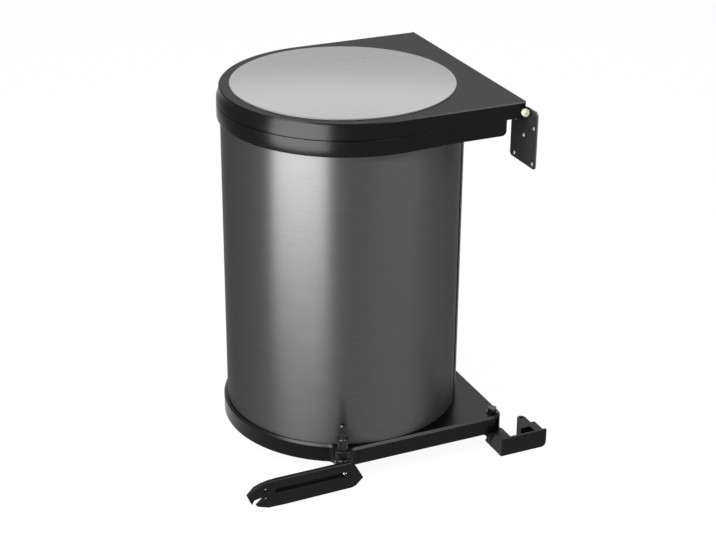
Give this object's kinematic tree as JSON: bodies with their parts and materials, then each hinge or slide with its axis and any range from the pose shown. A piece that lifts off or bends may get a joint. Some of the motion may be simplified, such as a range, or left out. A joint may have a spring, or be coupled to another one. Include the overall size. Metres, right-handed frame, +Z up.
{
  "type": "built-in swing-out cabinet bin",
  "caption": "Round swing-out waste bin for a base cabinet: brushed steel body on a black pivoting tray, hinged lid with a steel disc, wall plate, lower bracket and door guide.",
  "frame": {"origin": "on the cabinet floor under the lower bracket, on the vertical axis of the swing pivot", "axes": "+X towards the cabinet side wall that carries the bin, -Y towards the cabinet door, +Z up"},
  "size_m": [0.3594, 0.2927, 0.4076],
  "materials": {
    "bracket_plastic": "moulded, faintly grained",
    "dark_plate": "satin coat",
    "plain_steel": "zinc plated",
    "lid_coat": "satin coat",
    "brushed_disc": "fine brushed",
    "cream_nylon": "plain moulded",
    "tray_coat": "semi-gloss coat",
    "brushed_body": "brushed round the body",
    "ring_plastic": "plain moulded",
    "dark_steel": "blackened",
    "white_nylon": "plain moulded",
    "guide_plastic": "moulded, faintly grained",
    "bucket_plastic": "plain moulded"
  },
  "bodies": {
    "base": {"lower_bracket": "bracket_plastic", "bearing_sleeve": "plain_steel", "wall_plate": "dark_plate", "hinge_pin": "plain_steel", "hinge_clip": "plain_steel"},
    "lid": {"lid_panel": "lid_coat", "lid_disc": "brushed_disc", "lid_rim_ring": "lid_coat", "lid_hinge_bracket": "dark_plate", "hinge_bush": "cream_nylon"},
    "carrier": {"base_tray": "tray_coat", "body_shell": "brushed_body", "seam_strip": "brushed_body", "shell_top_ring": "ring_plastic", "shell_foot_ring": "ring_plastic", "shell_screws": "plain_steel", "pivot_bolt": "plain_steel", "pivot_washers": "plain_steel", "pivot_spacer": "plain_steel", "pivot_nut": "plain_steel", "driver_post": "dark_steel", "driver_collar": "ring_plastic", "driver_spacer": "plain_steel", "driver_clip": "plain_steel"},
    "swivel": {"driver_swivel": "dark_steel", "driver_button": "white_nylon"},
    "guide": {"door_guide": "guide_plastic"},
    "bucket": {"inner_bucket": "bucket_plastic"},
    "handle": {"bucket_handle": "plain_steel"}
  },
  "joints": [
    {"name": "bin_swing", "type": "hinge", "parent": "base", "child": "carrier", "pos_m": [0, 0, 0], "axis": [0, 0, 1], "range_deg": [0, 100]},
    {"name": "lid_lift", "type": "hinge", "parent": "base", "child": "lid", "pos_m": [0.016, 0, 0.3955], "axis": [0, 1, 0], "range_deg": [0, 25]},
    {"name": "swivel_turn", "type": "hinge", "parent": "carrier", "child": "swivel", "pos_m": [-0.191, -0.0215, 0.0285], "axis": [0, 0, 1], "range_deg": [-10, 10]},
    {"name": "guide_slide", "type": "slide", "parent": "swivel", "child": "guide", "axis": [1, 0, 0], "range_m": [0, 0.078]},
    {"name": "bucket_lift", "type": "slide", "parent": "carrier", "child": "bucket", "axis": [0, 0, 1], "range_m": [0, 0.014]},
    {"name": "handle_swing", "type": "hinge", "parent": "bucket", "child": "handle", "pos_m": [-0.1293, 0.1215, 0.3691], "axis": [-1, 0, 0], "range_deg": [0, 8]}
  ]
}
